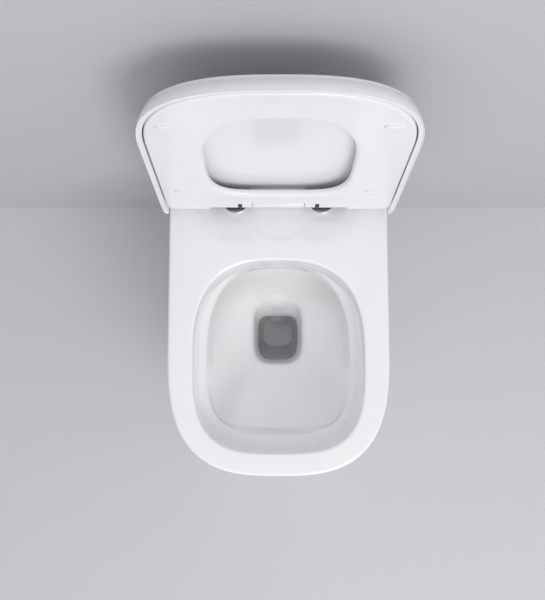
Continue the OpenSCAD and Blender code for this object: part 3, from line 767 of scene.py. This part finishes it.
def pad(x, y, low, high, length, width, edge):
    """A bar with round ends, lying along X, with its edges rounded."""
    bm = bmesh.new()
    bmesh.ops.create_cube(bm, size=1)
    bmesh.ops.scale(bm, vec=(length, width, high - low), verts=bm.verts)
    upright = [e for e in bm.edges if abs(e.verts[0].co.z - e.verts[1].co.z) > 1e-6]
    bmesh.ops.bevel(bm, geom=upright, affect="EDGES", offset=width * 0.49, segments=10, profile=0.5,
                    material=-1)
    if edge:
        rim = [e for e in bm.edges
               if abs(e.calc_face_angle(0)) > 1 and abs(e.verts[0].co.z - e.verts[1].co.z) < 1e-6]
        bmesh.ops.bevel(bm, geom=rim, affect="EDGES", offset=edge, segments=4, profile=0.5, material=-1)
    bmesh.ops.translate(bm, vec=(x, y, (low + high) / 2), verts=bm.verts)
    return bm


def merged(solids):
    """Several bmeshes as one."""
    bm = bmesh.new()
    for solid in solids:
        mesh = bpy.data.meshes.new("part")
        solid.to_mesh(mesh)
        solid.free()
        bm.from_mesh(mesh)
        bpy.data.meshes.remove(mesh)
    return bm


seat_pad_x = SEAT_HALF - 34 * MM
pockets = [pad(s * seat_pad_x, y, LID_LOW - MM, LID_LOW + 2.5 * MM, 26 * MM, 10.1 * MM, 0)
           for s in (-1, 1) for y in PAD_Y]
steps = [("DIFFERENCE", scratch(bm, f"seat_cut_{i}")) for i, bm in enumerate(seat_cuts)]
steps += [("UNION", scratch(bm, f"seat_lug_{i}")) for i, bm in enumerate(seat_lugs)]
steps += [("DIFFERENCE", scratch(bm, f"seat_bore_{i}")) for i, bm in enumerate(seat_bores + pockets)]
bm = carve(seat_body, steps)
bmesh.ops.transform(bm, matrix=SEAT_UP, verts=bm.verts)
finish_piece(bm, "seat", "seat", resin, 32, ["seat_ring"])

# %% [markdown]
# ## The lid
# The lid wraps over the seat: a flat top, a rounded shoulder and a skirt that is thicker at its
# lower edge. The skin is one solid and the hollow another, and a boolean takes one from the other.
# The tongue in the middle of the back edge is what turns on the hinge.

# %% The lid's shell
def lid_outline(inset, rear, z):
    return outline(LID_HALF - inset, LID_FRONT + inset, rear, LID_WAIST, 2.68, 40, z)


LEAN, LEAN_TOP = 6 * MM, 20 * MM
SHOULDER_IN, SHOULDER_DOWN = 12 * MM, 6 * MM
outer = []
for i in range(6):
    turn = math.radians(90 - 18 * i)
    outer.append(lid_outline(1.5 * MM * math.sin(turn), LID_REAR - 1.2 * MM * math.sin(turn),
                             LID_LOW + 1.5 * MM * (1 - math.cos(turn))))
for i in range(1, 9):
    outer.append(lid_outline(LEAN * (i / 9) ** 2, LID_REAR, LID_LOW + mix(1.5 * MM, LEAN_TOP, i / 9)))
for i in range(15):
    turn = math.radians(90 * i / 14)
    inset = SHOULDER_IN * (1 - math.cos(turn) ** 0.8)
    outer.append(lid_outline(LEAN + inset, LID_REAR - inset * 0.46,
                             LID_HIGH - SHOULDER_DOWN * (1 - math.sin(turn) ** 0.8)))
lid_body = scratch(loft(outer), "lid_body")
hollow = [lid_outline(LID_EDGE - MM, LID_REAR + 20 * MM, LID_LOW - MM),
          lid_outline(LID_EDGE - 0.6 * MM, LID_REAR + 20 * MM, LID_LOW + 0.2 * MM),
          lid_outline(LID_EDGE, LID_REAR + 20 * MM, LID_LOW + MM)]
for i in range(9):
    turn = math.radians(90 * i / 8)
    inset = LID_EDGE + 0.5 * MM + 3.5 * MM * (1 - math.cos(turn))
    hollow.append(lid_outline(inset, LID_REAR + 20 * MM, LID_CEILING - 4 * MM * (1 - math.sin(turn))))
print("lid rings", len(outer), "hollow rings", len(hollow))

# %% Tongue and cut-outs
lid_solids = [("DIFFERENCE", loft(hollow)),
              ("UNION", rod((-TONGUE_HALF, AXIS.y, AXIS.z), 2 * TONGUE_HALF, 8 * MM, "X", 0.8 * MM)),
              ("UNION", block((-TONGUE_HALF, AXIS.y - 30 * MM, AXIS.z),
                              (TONGUE_HALF, AXIS.y, LID_CEILING + MM), 0.8 * MM))]
lid_solids += [("DIFFERENCE", bm) for bm in both_ways(
    TONGUE_HALF, 110.5 * MM, (AXIS.y - 15 * MM, LID_LOW - 10 * MM),
    (AXIS.y + 30 * MM, LID_HIGH + 10 * MM), 1.2 * MM)]
lid_solids += [("DIFFERENCE", rod((-TONGUE_HALF - MM if s < 0 else TONGUE_HALF - 17 * MM, AXIS.y, AXIS.z),
                                  18 * MM, PIN_BORE, "X")) for s in (-1, 1)]
bm = carve(lid_body, [(operation, scratch(tool, f"lid_{i}"))
                      for i, (operation, tool) in enumerate(lid_solids)])
bmesh.ops.transform(bm, matrix=SEAT_UP, verts=bm.verts)
finish_piece(bm, "lid_cover", "lid", resin, 32, ["lid"])

# %% Soft pads under the seat and under the lid
SEAT_HIGH = LID_LOW + SEAT_THICK
bm = merged([pad(s * seat_pad_x, y, RIM_TOP + 0.3 * MM, LID_LOW + 2.4 * MM, 26 * MM, 10 * MM, 0.9 * MM)
             for s in (-1, 1) for y in PAD_Y])
bmesh.ops.transform(bm, matrix=SEAT_UP, verts=bm.verts)
finish_piece(bm, "seat_pads", "seat", white_rubber, 50, ["seat_buffers"])
bm = merged([pad(s * (SEAT_HALF - 44 * MM), y, SEAT_HIGH + 0.3 * MM, LID_CEILING, 18 * MM, 9 * MM, 0.5 * MM)
             for s in (-1, 1) for y in (PAD_Y[0], HOLE_REAR - 60 * MM)])
bmesh.ops.transform(bm, matrix=SEAT_UP, verts=bm.verts)
finish_piece(bm, "lid_pads", "lid", white_rubber, 50, ["lid_buffers"])

# %% [markdown]
# ## Hinge metal and barrels
# The round cover plates are pressed and chromed, so they get a turned profile with a soft edge. The
# barrels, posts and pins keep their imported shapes: a Bevel modifier rounds their edges and their
# finish is set, which is all that a small straight part needs.

# %% Chrome cover plates
for side, name in ((-1, "left"), (1, "right")):
    low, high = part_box(f"hinge_plate_{name}")
    centre = (low + high) / 2
    radius, tall = (high.x - low.x) / 2, high.z - low.z
    edge = 1.4 * MM
    profile = [(4.55 * MM, 0), (radius - 0.4 * MM, 0), (radius, 0.4 * MM), (radius, tall - edge)]
    profile += [(radius - edge * (1 - math.cos(math.radians(a))),
                 tall - edge * (1 - math.sin(math.radians(a))))
                for a in (15, 30, 45, 60, 75, 90)]
    profile += [(radius * 0.6, tall), (4.55 * MM, tall), (4.55 * MM, 0)]
    bm = turned(profile, 96, "Z", (centre.x, centre.y, low.z))
    finish_piece(bm, f"cover_plate_{name}", "pan", chrome, 40, [f"hinge_plate_{name}"])

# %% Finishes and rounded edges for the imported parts
def dress(node, material, edge):
    """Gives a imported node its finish, and rounds its edges with a modifier."""
    piece = nodes[node]
    piece.data.materials.clear()
    piece.data.materials.append(material)
    weld = piece.modifiers.new("weld", "WELD")
    weld.merge_threshold = 1e-6
    bevel = piece.modifiers.new("edges", "BEVEL")
    bevel.width = edge
    bevel.segments = 2
    bevel.limit_method = "ANGLE"
    bevel.angle_limit = math.radians(40)


small_parts = {
    "plate_gaskets": black_rubber, "expansion_sleeves": black_rubber, "fixing_nuts": brass,
    "hinge_post_left": steel, "hinge_post_right": steel, "seat_pivot_pin": steel, "lid_pivot_pin": steel,
    "seat_damper_shaft": steel, "lid_damper_shaft": steel, "seat_damper": damper_plastic,
    "lid_damper": damper_plastic, "hinge_block_left": barrel_plastic, "hinge_block_right": barrel_plastic,
    "release_button_left": button_plastic, "release_button_right": button_plastic,
    "floor_bracket_left": zinc, "floor_bracket_right": zinc, "side_screws": zinc,
    "side_sleeves": sleeve_plastic,
}
for node, material in small_parts.items():
    dress(node, material, 0.3 * MM)
print("dressed", len(small_parts), "packed parts")

# %% Domed covers over the side screws
cap_radius = (cap_high.z - cap_low.z) / 2
caps = []
for side in (-1, 1):
    dome = [(0, 4.5 * MM), (cap_radius * 0.5, 4.2 * MM), (cap_radius * 0.85, 3.5 * MM),
            (cap_radius * 0.97, 2.6 * MM), (cap_radius, 1.8 * MM), (cap_radius, 0), (0, 0)]
    base = cap_high.x - 4.5 * MM
    bm = turned(dome, 64, "X", (0, 0, 0))
    if side < 0:
        bmesh.ops.scale(bm, vec=(-1, 1, 1), verts=bm.verts)
        bmesh.ops.reverse_faces(bm, faces=bm.faces)
    bmesh.ops.translate(bm, vec=(side * base, SIDE_Y, SIDE_Z), verts=bm.verts)
    caps.append(bm)
finish_piece(merged(caps), "side_covers", "pan", chrome, 40, ["side_caps"])

# %% [markdown]
# ## Floor, wall, light and camera
# The floor and wall are plain and pale. The wall lets rays through from behind, so the back of the
# pan can be looked at. One large soft light stands high on the right in front, and a weak sky fills
# the shadows. The camera looks down from well above the bowl, tilted a little to the wall.

# %% Stage
def plane(name, corners, facing, material):
    """A flat sheet between corners whose front looks along facing."""
    bm = bmesh.new()
    bmesh.ops.contextual_create(bm, geom=[bm.verts.new(corner) for corner in corners])
    bm.normal_update()
    if any(face.normal.dot(facing) < 0 for face in bm.faces):
        bmesh.ops.reverse_faces(bm, faces=bm.faces)
    mesh = bpy.data.meshes.new(name)
    bm.to_mesh(mesh)
    bm.free()
    mesh.materials.append(material)
    made = bpy.data.objects.new(name, mesh)
    bpy.context.scene.collection.objects.link(made)
    made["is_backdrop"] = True


def make_plaster(name, dark, light, one_sided):
    material, tree, place = start_finish(name)
    base = blend_colours(tree, clouds(tree, place, 2, 2), dark, light)
    surface = add_node(tree, "ShaderNodeBsdfPrincipled", {}, {"Base Color": base, "Roughness": 0.6})
    if one_sided:
        behind = add_node(tree, "ShaderNodeNewGeometry", output=6)
        clear = add_node(tree, "ShaderNodeBsdfTransparent")
        surface = add_node(tree, "ShaderNodeMixShader", {}, {0: behind, 1: surface, 2: clear})
    show(tree, surface)
    return material


reach = 6.0
wall_face = WALL + 0.5 * MM
plane("floor", [(-reach, -reach, 0), (reach, -reach, 0), (reach, reach, 0), (-reach, reach, 0)],
      Vector((0, 0, 1)),
      make_plaster("floor_paint", (0.62, 0.62, 0.63), (0.64, 0.64, 0.65), False))
plane("wall", [(x, wall_face, z) for x, z in ((-reach, 0), (reach, 0), (reach, 3), (-reach, 3))],
      Vector((0, -1, 0)),
      make_plaster("wall_paint", (0.54, 0.54, 0.55), (0.56, 0.56, 0.57), True))
print("stage ready")

# %% Camera
CAMERA = Vector((-9.8 * MM, -200.7 * MM, 1844.2 * MM))
TILT = math.radians(8.42)
lens = bpy.data.cameras.new("overhead")
lens.lens = 53.58
lens.sensor_width = 36
lens.sensor_fit = "AUTO"
lens.clip_start = 0.05
camera = bpy.data.objects.new("overhead", lens)
bpy.context.scene.collection.objects.link(camera)
camera.matrix_world = Matrix.Translation(CAMERA) @ Matrix.Rotation(TILT, 4, "X")
bpy.context.scene.camera = camera
print("camera at", CAMERA)

# %% Lights
def soft_light(name, place, target, size, watts):
    lamp = bpy.data.lights.new(name, "AREA")
    lamp.shape = "DISK"
    lamp.size = size
    lamp.energy = watts
    made = bpy.data.objects.new(name, lamp)
    bpy.context.scene.collection.objects.link(made)
    aim = (Vector(target) - Vector(place)).to_track_quat("-Z", "Y")
    made.matrix_world = Matrix.Translation(place) @ aim.to_matrix().to_4x4()


soft_light("key", (1.1, -2.3, 2.6), (0, 0, 0.4), 1.8, 40)
world = bpy.data.worlds.new("sky")
bpy.context.scene.world = world
world.use_nodes = True
world.node_tree.nodes["Background"].inputs["Color"].default_value = (0.97, 0.98, 1.0, 1.0)
world.node_tree.nodes["Background"].inputs["Strength"].default_value = 0.78
bpy.context.scene.view_settings.view_transform = "Standard"
print("lights ready")

# %% Print the visual model's box and finish
low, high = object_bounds()
print("visual model", [round(v, 4) for v in low], [round(v, 4) for v in high])
